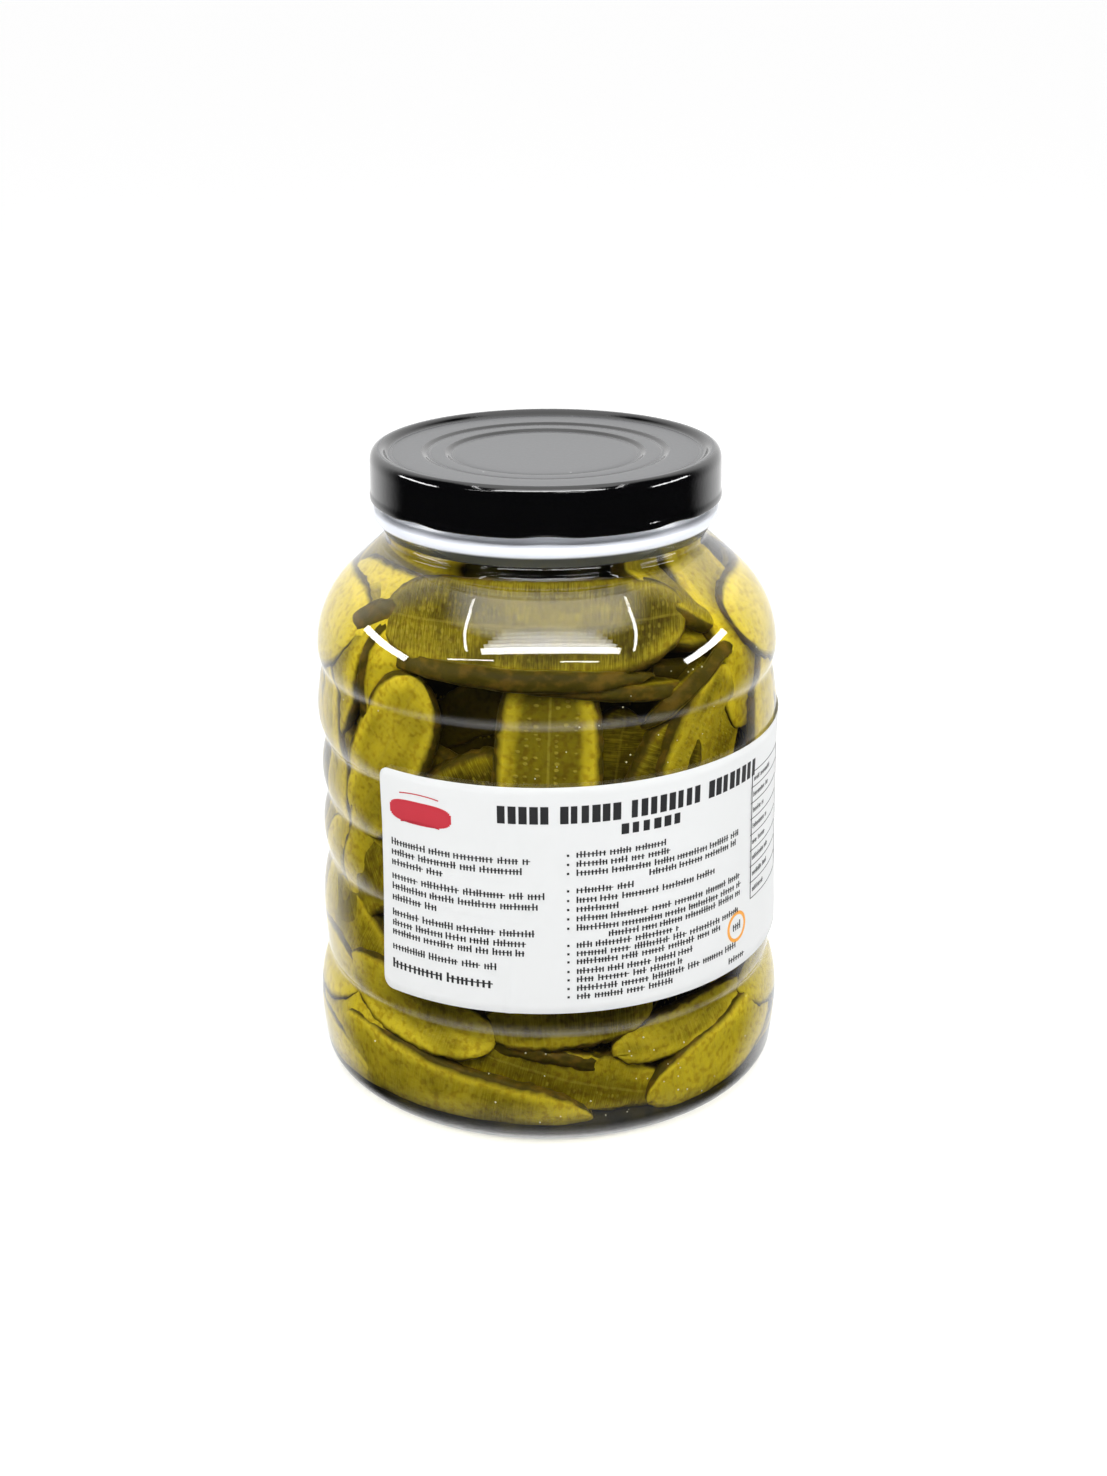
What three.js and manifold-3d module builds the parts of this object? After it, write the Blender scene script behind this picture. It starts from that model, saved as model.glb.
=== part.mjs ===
// A wide clear plastic jar of long sliced gherkins, with a white neck, a black metal twist lid
// and a white paper label. Millimetres, +Z up, origin at the centre of the base, front along -Y.

import * as THREE from 'three';
import { mergeVertices } from 'three/addons/utils/BufferGeometryUtils.js';
import Module from 'manifold-3d';

const wasm = await Module();
wasm.setup();

// Turned shapes share one number of sides, so that the faces of nested pieces run parallel.
const SIDES = 48;
const SIDE_ANGLE = (2 * Math.PI) / SIDES;
const GAP = 0.35;

// Body of the jar, outer surface.
const WALL = 1.1;
const PUSH_UP = { height: 7, bendRadius: 45, bendHeight: 2 };
const FOOT = { inner: 53, outer: 63 };
const HEEL = { radius: 75.1, height: 8.5, power: 2.2 };
const BUMPER = { crest: 76.2, top: 33.4, edge: 74.0 };
const LOW_GROOVE = { middle: 36.2, top: 38.8, radius: 72.3, lip: 73.5 };
const RINGS = [
  { top: 70.6, crest: 74.5, edge: 71.6 },
  { top: 91.2, crest: 73.9, edge: 71.6 },
  { top: 110.5, crest: 73.9, edge: 71.6 },
  { top: 131.8, crest: 74.8, edge: 73.6 },
];
const HIGH_GROOVE = { middle: 134.6, top: 137.4, radius: 72.4, lip: 73.9 };
const SHOULDER = { radius: 74.4, arc: 32, height: 140.8, steepest: 46 };

// Neck: a white collar below the thread, and the mouth inside the lid.
const NECK = { waist: 50.9, waistHeight: 175.4, clearTop: 174.3, clearRadius: 53.3 };
const COLLAR = { low: 52.2, lowHeight: 179.3, radius: 55.3, band: 183.0, top: 186.2 };
const EDGE_ROUND = 0.6;
const FINISH = { outer: 52.6, inner: 48.2, top: 200.4 };

// Lid: a pressed metal cap whose lower hem dips in at each lug.
const LID = { radius: 56.1, hem: 56.4, bottom: 189.0, shoulder: 201.2, crest: 204.7, crestRadius: 53.4 };
const LID_ROUND = 0.8;
const LID_SHEET = 0.7;
const HEM = { height: 2.5, round: 0.4, curl: 1.1 };
const PANEL = { radius: 50.8, height: 203.2 };
const STEP_RING = { outer: 39.2, inner: 37.2, height: 202.7 };
const STEP_DISC = { outer: 32.0, inner: 30.2, height: 202.1 };
const LUGS = 8;
const LUG = { dent: 0.45, lift: 0.55 };

// Label: taut paper from one ring crest to the next, as heights with the radius under the paper.
const LABEL = { low: 46.2, high: 118.8, start: -42.4, end: 102, thickness: 0.3, lean: 0.5, corner: 3.5 };
const LABEL_RADII = [[40, 74.7], [52, 74.75], [62, 74.5], [80, 74.15], [100, 74.2], [122, 75.05]];

// Gherkin slices: typical sizes, and the layer that they form against the wall.
const SLICE = { length: 92, width: 33, thickness: 6.5, tip: 0.12, fullness: 3.2, sections: 5 };
const LAYER = { inset: 1.0, depth: 8.5, floor: 9, top: 173, drop: 3 };
const FRONT_REACH = 62;
const HEAP_ROWS = [
  { height: 24, count: 6, tilt: 6 },
  { height: 50, count: 6, tilt: -9 },
  { height: 76, count: 6, tilt: 12, behindLabel: true },
  { height: 101, count: 6, tilt: -7, behindLabel: true },
  { height: 126, count: 5, tilt: 9 },
  { height: 151, count: 5, tilt: -5 },
];
// The slices that face the front: degrees right of the front, height, tilt of the long axis,
// roll of the flat face away from the wall, length and width.
const FRONT_SLICES = [
  { turn: -8, height: 156, tilt: 4, roll: 0, length: 92, width: 34 },
  { turn: 44, height: 160, tilt: -58, roll: 10, length: 62, width: 30 },
  { turn: -52, height: 148, tilt: 62, roll: 0, length: 78, width: 30 },
  { turn: -6, height: 141, tilt: -5, roll: 84, length: 96, width: 30 },
  { turn: 0, height: 122, tilt: 84, roll: 0, length: 70, width: 30 },
  { turn: 55, height: 126, tilt: 20, roll: 0, length: 44, width: 36 },
  { turn: 27, height: 118, tilt: -40, roll: 0, length: 70, width: 30 },
  { turn: -34, height: 124, tilt: 34, roll: 15, length: 74, width: 30 },
  { turn: -20, height: 37, tilt: -4, roll: 60, length: 90, width: 28 },
  { turn: 12, height: 20, tilt: 5, roll: 10, length: 100, width: 30 },
  { turn: -38, height: 21, tilt: -18, roll: 0, length: 84, width: 32 },
  { turn: 42, height: 34, tilt: 12, roll: 24, length: 84, width: 30 },
];

const COLOURS = {
  jar: 0xe9ead8,
  lid: 0x17171a,
  label: 0xededee,
  pickles: 0xb4a63c,
};

// Points on a smooth bulge between two heights: the radius is the edge's at both ends.
function bulge(from, to, fromRadius, toRadius, crest, count) {
  const points = [];
  for (let i = 1; i < count; i += 1) {
    const t = i / count;
    const edge = THREE.MathUtils.lerp(fromRadius, toRadius, t);
    const rise = 1 - (2 * t - 1) ** 2;
    points.push([edge + (crest - edge) * rise, THREE.MathUtils.lerp(from, to, t)]);
  }
  return points;
}

function heelPoints(count) {
  const points = [];
  for (let i = 0; i <= count; i += 1) {
    const turn = (i / count) * (Math.PI / 2);
    const out = Math.sin(turn) ** (2 / HEEL.power);
    const up = 1 - Math.cos(turn) ** (2 / HEEL.power);
    points.push([FOOT.outer + (HEEL.radius - FOOT.outer) * out, HEEL.height * up]);
  }
  return points;
}

function shoulderPoints(count, arc = SHOULDER.arc) {
  const points = [];
  const centre = SHOULDER.radius - SHOULDER.arc;
  for (let i = 0; i <= count; i += 1) {
    const turn = THREE.MathUtils.degToRad((SHOULDER.steepest * i) / count);
    points.push([centre + arc * Math.cos(turn), SHOULDER.height + arc * Math.sin(turn)]);
  }
  return points;
}

function ringPoints() {
  const points = [];
  let bottom = LOW_GROOVE.top;
  let bottomRadius = LOW_GROOVE.lip;
  for (const ring of RINGS) {
    points.push([bottomRadius, bottom]);
    points.push(...bulge(bottom, ring.top, bottomRadius, ring.edge, ring.crest, 4));
    bottom = ring.top;
    bottomRadius = ring.edge;
  }
  points.push([bottomRadius, bottom]);
  return points;
}

// Outer surface from the middle of the base up to the clear part's top.
function bodyPoints() {
  return [
    [0, PUSH_UP.height],
    [PUSH_UP.bendRadius, PUSH_UP.bendHeight],
    [FOOT.inner, 0],
    ...heelPoints(3),
    ...bulge(HEEL.height, BUMPER.top, HEEL.radius, BUMPER.edge, BUMPER.crest, 4),
    [BUMPER.edge, BUMPER.top],
    [LOW_GROOVE.radius, LOW_GROOVE.middle],
    ...ringPoints(),
    [HIGH_GROOVE.radius, HIGH_GROOVE.middle],
    [HIGH_GROOVE.lip, HIGH_GROOVE.top],
    ...shoulderPoints(5),
    [NECK.clearRadius, NECK.clearTop],
  ];
}

function neckPoints() {
  return [
    [NECK.waist, NECK.waistHeight],
    [COLLAR.low, COLLAR.lowHeight],
    [COLLAR.radius - EDGE_ROUND, COLLAR.band],
    [COLLAR.radius, COLLAR.band + EDGE_ROUND],
    [COLLAR.radius, COLLAR.top - EDGE_ROUND],
    [FINISH.outer, COLLAR.top + EDGE_ROUND],
    [FINISH.outer, FINISH.top - EDGE_ROUND],
    [FINISH.outer - EDGE_ROUND, FINISH.top],
    [FINISH.inner + EDGE_ROUND, FINISH.top],
    [FINISH.inner, FINISH.top - EDGE_ROUND],
    [FINISH.inner, NECK.waistHeight],
  ];
}

// Inner surface, from the mouth down: it follows the outer one a wall's thickness inside it.
function innerPoints() {
  const points = [];
  const shoulder = shoulderPoints(3, SHOULDER.arc - WALL).reverse();
  points.push(...shoulder);
  points.push([HIGH_GROOVE.radius - WALL, HIGH_GROOVE.middle]);
  for (let i = RINGS.length - 1; i >= 0; i -= 1) {
    const ring = RINGS[i];
    const bottom = i > 0 ? RINGS[i - 1].top : LOW_GROOVE.top;
    points.push([ring.crest - WALL, (ring.top + bottom) / 2]);
    if (i > 0) points.push([RINGS[i - 1].edge - WALL, bottom]);
  }
  points.push([LOW_GROOVE.radius - WALL, LOW_GROOVE.middle]);
  points.push([BUMPER.crest - WALL, (BUMPER.top + HEEL.height) / 2]);
  points.push([HEEL.radius - WALL, HEEL.height]);
  points.push([(FOOT.outer + HEEL.radius) / 2, 2 * WALL]);
  points.push([FOOT.outer, WALL]);
  points.push([FOOT.inner, WALL]);
  points.push([PUSH_UP.bendRadius, PUSH_UP.bendHeight + WALL]);
  points.push([0, PUSH_UP.height + WALL]);
  return points;
}

// Revolves an outline of [radius, height] pairs about +Z into one closed surface.
function turned(outline, sides = SIDES) {
  const points = outline.map(([radius, height]) => new THREE.Vector2(radius, height));
  const geometry = new THREE.LatheGeometry(points, sides, Math.PI / 2);
  geometry.rotateX(Math.PI / 2);
  return sealed(geometry);
}

// Merges shared corners, drops triangles that have no area, and turns the faces outwards.
function sealed(source) {
  source.deleteAttribute('normal');
  source.deleteAttribute('uv');
  const merged = mergeVertices(source, 1e-4);
  const index = merged.index.array;
  const kept = [];
  for (let i = 0; i < index.length; i += 3) {
    const [a, b, c] = [index[i], index[i + 1], index[i + 2]];
    if (a !== b && b !== c && c !== a) kept.push(a, b, c);
  }
  merged.setIndex(kept);
  if (signedVolume(merged) < 0) {
    for (let i = 0; i < kept.length; i += 3) [kept[i], kept[i + 1]] = [kept[i + 1], kept[i]];
    merged.setIndex(kept);
  }
  return merged;
}

function signedVolume(geometry) {
  const position = geometry.getAttribute('position');
  const index = geometry.index.array;
  const [a, b, c] = [new THREE.Vector3(), new THREE.Vector3(), new THREE.Vector3()];
  let total = 0;
  for (let i = 0; i < index.length; i += 3) {
    a.fromBufferAttribute(position, index[i]);
    b.fromBufferAttribute(position, index[i + 1]);
    c.fromBufferAttribute(position, index[i + 2]);
    total += a.dot(b.cross(c)) / 6;
  }
  return total;
}

// Moves every corner of a geometry by a rule.
function reshape(geometry, rule) {
  const position = geometry.getAttribute('position');
  const point = new THREE.Vector3();
  for (let i = 0; i < position.count; i += 1) {
    point.fromBufferAttribute(position, i);
    rule(point);
    position.setXYZ(i, point.x, point.y, point.z);
  }
  return geometry;
}

function toManifold(geometry) {
  return new wasm.Manifold(new wasm.Mesh({
    numProp: 3,
    vertProperties: Float32Array.from(geometry.getAttribute('position').array),
    triVerts: Uint32Array.from(geometry.index.array),
  }));
}

// Keeps only the outer skin of the largest piece, so sealed hollows fill and scraps drop.
function largestPiece(solid) {
  const mesh = solid.getMesh();
  const parent = Array.from({ length: mesh.vertProperties.length / 3 }, (_, i) => i);
  const root = (i) => {
    while (parent[i] !== i) {
      parent[i] = parent[parent[i]];
      i = parent[i];
    }
    return i;
  };
  for (let i = 0; i < mesh.triVerts.length; i += 3) {
    parent[root(mesh.triVerts[i])] = root(mesh.triVerts[i + 1]);
    parent[root(mesh.triVerts[i + 1])] = root(mesh.triVerts[i + 2]);
  }
  const pieces = new Map();
  for (let i = 0; i < mesh.triVerts.length; i += 3) {
    const key = root(mesh.triVerts[i]);
    if (!pieces.has(key)) pieces.set(key, []);
    pieces.get(key).push(mesh.triVerts[i], mesh.triVerts[i + 1], mesh.triVerts[i + 2]);
  }
  let best = null;
  for (const triangles of pieces.values()) {
    const geometry = new THREE.BufferGeometry();
    geometry.setAttribute('position', new THREE.Float32BufferAttribute(mesh.vertProperties, 3));
    geometry.setIndex(triangles);
    const volume = signedVolume(geometry);
    if (!best || volume > best.volume) best = { volume, geometry };
  }
  return best.geometry;
}

function jarGeometry() {
  return turned([...bodyPoints(), ...neckPoints(), ...innerPoints()]);
}

function lidGeometry() {
  const inside = LID.hem - LID_SHEET;
  const outline = [
    [0, STEP_DISC.height],
    [STEP_DISC.inner, STEP_DISC.height],
    [STEP_DISC.outer, STEP_RING.height],
    [STEP_RING.inner, STEP_RING.height],
    [STEP_RING.outer, PANEL.height],
    [PANEL.radius, PANEL.height],
    [LID.crestRadius - 2 * LID_ROUND, LID.crest - LID_ROUND / 2],
    [LID.crestRadius, LID.crest],
    [LID.crestRadius + 2 * LID_ROUND, LID.crest - LID_ROUND],
    [LID.radius - LID_ROUND / 3, LID.shoulder + LID_ROUND],
    [LID.radius, LID.shoulder],
    [LID.radius, LID.bottom + HEM.height],
    [LID.hem, LID.bottom + HEM.height / 2],
    [LID.hem, LID.bottom + HEM.round],
    [LID.hem - HEM.round, LID.bottom],
    [inside - HEM.curl + HEM.round, LID.bottom],
    [inside - HEM.curl, LID.bottom + HEM.round],
    [inside - HEM.round, LID.bottom + HEM.height],
    [inside - HEM.round, LID.shoulder],
    [LID.crestRadius - LID_ROUND, PANEL.height - LID_SHEET],
    [0, FINISH.top + GAP],
  ];
  return reshape(turned(outline), (point) => {
    const depth = 1 - (point.z - LID.bottom) / HEM.height;
    if (depth <= 0) return;
    const turn = Math.atan2(point.y, point.x);
    const dip = Math.max(0, Math.cos(LUGS * turn)) ** 2 * depth;
    const radius = Math.hypot(point.x, point.y);
    const scale = 1 - (LUG.dent * dip) / radius;
    point.set(point.x * scale, point.y * scale, point.z + LUG.lift * dip);
  });
}

function labelRadius(height) {
  for (let i = 1; i < LABEL_RADII.length; i += 1) {
    const [low, lowRadius] = LABEL_RADII[i - 1];
    const [high, highRadius] = LABEL_RADII[i];
    if (height <= high) return THREE.MathUtils.mapLinear(height, low, high, lowRadius, highRadius);
  }
  return LABEL_RADII[LABEL_RADII.length - 1][1];
}

// A thin curved sheet whose columns line up with the jar's sides, with rounded corners.
function labelGeometry() {
  const columns = 22;
  const rows = 5;
  const sheet = new THREE.BoxGeometry(1, 1, LABEL.thickness, columns, rows, 1);
  const start = THREE.MathUtils.degToRad(LABEL.start);
  const end = THREE.MathUtils.degToRad(LABEL.end);
  const cornerTurn = LABEL.corner / LABEL_RADII[0][1];
  const firstSide = Math.ceil(start / SIDE_ANGLE);
  const turnOf = (column) => {
    if (column === 0) return start;
    if (column === columns) return end;
    if (column === 1) return start + cornerTurn;
    if (column === columns - 1) return end - cornerTurn;
    return (firstSide + column - 2) * SIDE_ANGLE;
  };
  reshape(sheet, (point) => {
    const column = Math.round((point.x + 0.5) * columns);
    const turn = turnOf(column);
    const atEnd = column === 0 || column === columns;
    const half = (LABEL.high - LABEL.low) / 2 - (atEnd ? LABEL.corner : 0);
    const height = (LABEL.high + LABEL.low) / 2 + point.y * 2 * half + LABEL.lean * turn;
    const radius = labelRadius(height) + GAP + LABEL.thickness / 2 + point.z;
    point.set(radius * Math.sin(turn), -radius * Math.cos(turn), height);
  });
  return sealed(sheet);
}

// Radius of the surface that the slices press against: the inner wall without its grooves.
function contentRadius(height) {
  const straight = RINGS[1].edge - WALL - GAP;
  const arcCentre = SHOULDER.radius - SHOULDER.arc;
  const rise = Math.max(0, height - SHOULDER.height + LAYER.drop);
  const inside = SHOULDER.arc - WALL - GAP - LAYER.inset;
  const steepest = THREE.MathUtils.degToRad(SHOULDER.steepest);
  const limit = inside * Math.sin(steepest);
  if (rise <= limit) return Math.min(straight, arcCentre + Math.sqrt(inside ** 2 - rise ** 2));
  return arcCentre + inside * Math.cos(steepest) - (rise - limit) * Math.tan(steepest);
}

// A long flat slice with round ends, laid along the wall with few sides.
function sliceGeometry({ turn, height, tilt, roll, length, width }) {
  const { sections, thickness } = SLICE;
  const geometry = new THREE.BoxGeometry(2, 2, thickness, sections, 1, 1);
  const centre = THREE.MathUtils.degToRad(turn);
  const lean = THREE.MathUtils.degToRad(tilt);
  const twist = THREE.MathUtils.degToRad(roll);
  reshape(geometry, (point) => {
    const round = Math.sqrt(Math.max(SLICE.tip, 1 - Math.abs(point.x) ** SLICE.fullness));
    const along = (point.x * length) / 2;
    const across = (point.y * width * round) / 2;
    const side = across * Math.cos(twist) - point.z * Math.sin(twist);
    const depth = across * Math.sin(twist) + point.z * Math.cos(twist);
    const inward = (width / 2) * Math.abs(Math.sin(twist)) + (thickness / 2) * Math.cos(twist);
    const z = height + along * Math.sin(lean) + side * Math.cos(lean);
    const level = THREE.MathUtils.clamp(z, LAYER.floor, LAYER.top);
    const outside = contentRadius(level);
    const around = centre + (along * Math.cos(lean) - side * Math.sin(lean)) / outside;
    const radius = outside - LAYER.inset - inward + depth;
    point.set(radius * Math.sin(around), -radius * Math.cos(around), level);
  });
  return sealed(geometry);
}

// The slices round the sides and back, in rows that alternate in tilt.
function heapSlices() {
  const slices = [];
  HEAP_ROWS.forEach((row, level) => {
    for (let i = 0; i < row.count; i += 1) {
      const turn = (360 * (i + 0.5 * (level % 2))) / row.count;
      const fromFront = Math.abs(((turn + 180) % 360) - 180);
      if (fromFront < FRONT_REACH && !row.behindLabel) continue;
      const swing = (i * 7 + level * 3) % 5;
      slices.push({
        turn,
        height: row.height + 3 * (swing - 2),
        tilt: row.tilt * (swing - 1.5),
        roll: swing === 3 ? 50 : 8 * (swing - 2),
        length: SLICE.length - 3 * swing,
        width: SLICE.width - 1.5 * swing,
      });
    }
  });
  return slices;
}

function heapOutline(reach, levels) {
  const outline = [[0, LAYER.floor]];
  for (let level = 0; level <= levels; level += 1) {
    const height = THREE.MathUtils.lerp(LAYER.floor, LAYER.top, level / levels);
    outline.push([contentRadius(height) - reach, height]);
  }
  outline.push([0, LAYER.top]);
  return outline;
}

function picklesGeometry() {
  let heap = toManifold(turned(heapOutline(LAYER.depth - LAYER.inset, 9), 20));
  for (const slice of [...FRONT_SLICES, ...heapSlices()]) heap = heap.add(toManifold(sliceGeometry(slice)));
  const room = toManifold(turned(heapOutline(0, 14), SIDES));
  return largestPiece(heap.intersect(room));
}

function named(name, geometry, finish) {
  const material = new THREE.MeshStandardMaterial({ color: COLOURS[name], ...finish });
  const mesh = new THREE.Mesh(geometry, material);
  mesh.name = name;
  return mesh;
}

const group = new THREE.Group();
group.add(named('jar', jarGeometry(), { roughness: 0.06, transparent: true, opacity: 0.35 }));
group.add(named('lid', lidGeometry(), { roughness: 0.25, metalness: 0.6 }));
group.add(named('label', labelGeometry(), { roughness: 0.55 }));
group.add(named('pickles', picklesGeometry(), { roughness: 0.4 }));

export default group;
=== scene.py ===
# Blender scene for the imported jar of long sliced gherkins. Lengths are written in millimetres and
# turned into metres when a mesh is made. Turn 0 faces the front (-Y) and grows towards +X.

import math
import random

import bpy
from mathutils import Matrix, Vector, noise


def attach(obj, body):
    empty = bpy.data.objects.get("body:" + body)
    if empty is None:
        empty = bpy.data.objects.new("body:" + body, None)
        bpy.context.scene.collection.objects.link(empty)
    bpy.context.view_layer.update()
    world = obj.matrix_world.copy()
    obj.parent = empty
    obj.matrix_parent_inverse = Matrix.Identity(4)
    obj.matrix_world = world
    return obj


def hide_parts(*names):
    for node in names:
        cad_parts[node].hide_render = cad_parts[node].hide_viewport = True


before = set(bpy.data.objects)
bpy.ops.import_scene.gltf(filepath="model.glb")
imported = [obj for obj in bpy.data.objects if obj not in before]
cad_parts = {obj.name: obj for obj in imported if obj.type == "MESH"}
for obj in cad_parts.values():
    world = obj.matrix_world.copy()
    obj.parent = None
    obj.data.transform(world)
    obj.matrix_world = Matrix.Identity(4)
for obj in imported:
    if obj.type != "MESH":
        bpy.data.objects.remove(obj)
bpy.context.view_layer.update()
MM = 0.001

# Camera, worked out from the ellipses of the lid, the grooves and the label.
CAMERA = {"back": 659.4, "up": 359.5, "down": 13.0, "roll": 0.32, "lens": 51.82, "shift": (0.0054, -0.2043)}

# The light tent, as directions seen from the jar. The opening is the dark front: its ramps run over the
# cosine of the turn from the front and over the sine of the height, as do the ceiling's and the table's.
TENT = {"opening": (-0.8, -0.25), "opening_top": (0.93, 0.82), "opening_low": (-0.82, -0.6),
        "ceiling": (0.82, 0.92), "dark": 0.99, "side_light": 1.25, "ceiling_light": 1.7, "low_share": 0.5,
        "table": (-0.8, -0.95), "table_light": 2.4}
LIGHT_AIM = (0.0, 0.0, 0.155)

# Jar profile: radius and height along the outer surface. Each ring has its low and high edge, the radius
# at each, and its crest.
WALL = 1.1
BASE_PROFILE = [(0, 7.0), (20, 6.2), (38, 3.8), (47, 1.4), (52, 0.2), (55, 0.0), (59, 0.0)]
FOOT_OUTER = 63.0
HEEL = {"radius": 75.1, "height": 8.5, "power": 2.2, "steps": 8}
BUMPER = {"crest": 76.2, "top": 33.4, "edge": 74.0, "steps": 9}
RINGS = [(38.8, 70.6, 73.5, 71.6, 74.5), (70.6, 91.2, 71.6, 71.6, 73.9),
         (91.2, 110.5, 71.6, 71.6, 73.9), (110.5, 131.8, 71.6, 73.6, 74.8)]
RING_STEPS = 8
LOW_GROOVE = [(74.0, 33.4), (72.3, 36.2), (73.5, 38.8)]
HIGH_GROOVE = [(73.6, 131.8), (72.4, 134.6), (73.9, 137.4)]
SHOULDER = {"centre": 42.4, "arc": 32.0, "height": 140.8, "steepest": 46.0, "steps": 12}
JAR_SIDES = 168

# The neck: the clear stub that the body ends in, and the white collar and rim over it.
NECK_JOINT = 178.8
NECK_GAP = 0.05
MOUTH = 48.2
NECK_OUTER = [(53.3, 174.3), (51.6, 175.3), (51.2, 176.6), (51.6, NECK_JOINT)]
NECK_INNER = [(MOUTH, NECK_JOINT), (MOUTH, 175.6), (49.6, 174.6), (52.6, 173.2)]
COLLAR = [(51.7, NECK_JOINT + NECK_GAP), (52.2, 179.3), (53.6, 181.4), (54.9, 182.9), (55.3, 183.6),
          (55.3, 185.4), (54.9, 186.0), (53.2, 186.5), (52.6, 187.2), (52.6, 199.8), (52.0, 200.4),
          (48.8, 200.4), (MOUTH, 199.8), (MOUTH, NECK_JOINT + NECK_GAP)]

# The brine reaches a little into the wall, so that no air gap shows.
INTO_WALL = 0.3
BRINE_TOP = 187.0
BRINE_NECK = [(52.9, 173.5), (49.9, 174.9), (MOUTH + INTO_WALL, 176.0), (MOUTH + INTO_WALL, BRINE_TOP),
              (0, BRINE_TOP)]

# The lid, from the middle of its panel over the rim, down the skirt to the curled hem, and back inside.
LID_PROFILE = [(0, 202.1), (20, 202.1), (29.2, 202.1), (30.1, 201.82), (30.9, 202.1), (31.8, 202.62),
               (32.7, 202.7), (36.7, 202.7), (37.6, 202.42), (38.4, 202.7), (39.3, 203.12), (40.2, 203.2),
               (45, 203.2), (49.0, 203.2), (50.0, 202.9), (50.9, 203.2), (51.4, 203.75), (52.0, 204.3),
               (52.8, 204.65), (53.6, 204.7), (54.4, 204.5), (55.1, 204.0), (55.6, 203.3), (55.95, 202.3),
               (56.1, 201.2), (56.1, 199), (56.1, 195), (56.1, 192.2), (56.15, 191.5), (56.4, 190.8),
               (56.4, 189.6), (56.25, 189.15), (55.9, 189.0), (55.0, 189.0), (54.6, 189.3), (54.6, 190.8),
               (55.2, 191.5), (55.3, 201.0), (54.6, 203.0), (53.4, 203.9), (52.6, 203.6), (51.2, 202.5),
               (40, 202.4), (36, 201.9), (30, 201.3), (0, 201.3)]
LID_SIDES = 256
LUGS = {"count": 8, "low": 189.0, "tall": 2.6, "inwards": 0.45, "upwards": 0.55}

# Label: the taut paper's radius by height, its edges and its corner, and how far it stands off the jar.
LABEL_RADII = [(40, 74.7), (52, 74.75), (62, 74.5), (80, 74.15), (100, 74.2), (122, 75.05)]
LABEL = {"low": 46.2, "high": 118.8, "start": -42.4, "end": 102.0, "lean": 0.5, "corner": 3.5,
         "radius": 74.7}
LABEL_GRID = {"columns": 270, "rows": 26, "corner": 5}
WRINKLE = {"turn": -9.0, "width": 1.0, "rise": 0.22, "low": 50.0, "high": 68.0}
LABEL_OUT = 0.35
LABEL_THICK = 0.22


def bulge(low, high, low_radius, high_radius, crest, count):
    """The points of one barrel-shaped ring between its two edges."""
    points = []
    for i in range(1, count):
        t = i / count
        edge = low_radius + (high_radius - low_radius) * t
        points.append((edge + (crest - edge) * (1 - (2 * t - 1) ** 2), low + (high - low) * t))
    return points


def heel_points():
    points = []
    for i in range(HEEL["steps"] + 1):
        turn = i / HEEL["steps"] * math.pi / 2
        out = math.sin(turn) ** (2 / HEEL["power"])
        rise = 1 - math.cos(turn) ** (2 / HEEL["power"])
        points.append((FOOT_OUTER + (HEEL["radius"] - FOOT_OUTER) * out, HEEL["height"] * rise))
    return points


def shoulder_points():
    points = []
    for i in range(SHOULDER["steps"] + 1):
        turn = math.radians(SHOULDER["steepest"] * i / SHOULDER["steps"])
        points.append((SHOULDER["centre"] + SHOULDER["arc"] * math.cos(turn),
                       SHOULDER["height"] + SHOULDER["arc"] * math.sin(turn)))
    return points


def body_outline():
    points = BASE_PROFILE + heel_points()
    points += bulge(HEEL["height"], BUMPER["top"], HEEL["radius"], BUMPER["edge"], BUMPER["crest"],
                    BUMPER["steps"])
    points += LOW_GROOVE
    for low, high, low_radius, high_radius, crest in RINGS:
        points += bulge(low, high, low_radius, high_radius, crest, RING_STEPS)
        if high < RINGS[-1][1]:
            points.append((high_radius, high))
    return points + HIGH_GROOVE + shoulder_points()


def softened(points, share=0.25):
    """Cuts each corner of an open outline, so that it turns in two small steps."""
    result = [points[0]]
    for (r0, z0), (r1, z1) in zip(points, points[1:]):
        result.append((r0 + (r1 - r0) * share, z0 + (z1 - z0) * share))
        result.append((r1 - (r1 - r0) * share, z1 - (z1 - z0) * share))
    result.append(points[-1])
    return result


def moved_in(points, distance):
    """An outline moved towards the inside of the jar, square to itself."""
    result = []
    for i, (radius, height) in enumerate(points):
        before = points[max(i - 1, 0)]
        after = points[min(i + 1, len(points) - 1)]
        along = Vector((after[0] - before[0], after[1] - before[1])).normalized()
        result.append((max(0.0, radius - along.y * distance), height + along.x * distance))
    result[0] = (0.0, points[0][1] + distance)
    return result


def add_mesh(name, corners, faces, material, smooth=True):
    mesh = bpy.data.meshes.new(name)
    mesh.from_pydata([Vector(c) * MM for c in corners], [], faces)
    mesh.validate()
    mesh.polygons.foreach_set("use_smooth", [smooth] * len(mesh.polygons))
    mesh.update()
    piece = bpy.data.objects.new(name, mesh)
    bpy.context.scene.collection.objects.link(piece)
    mesh.materials.append(material)
    return piece


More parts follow.
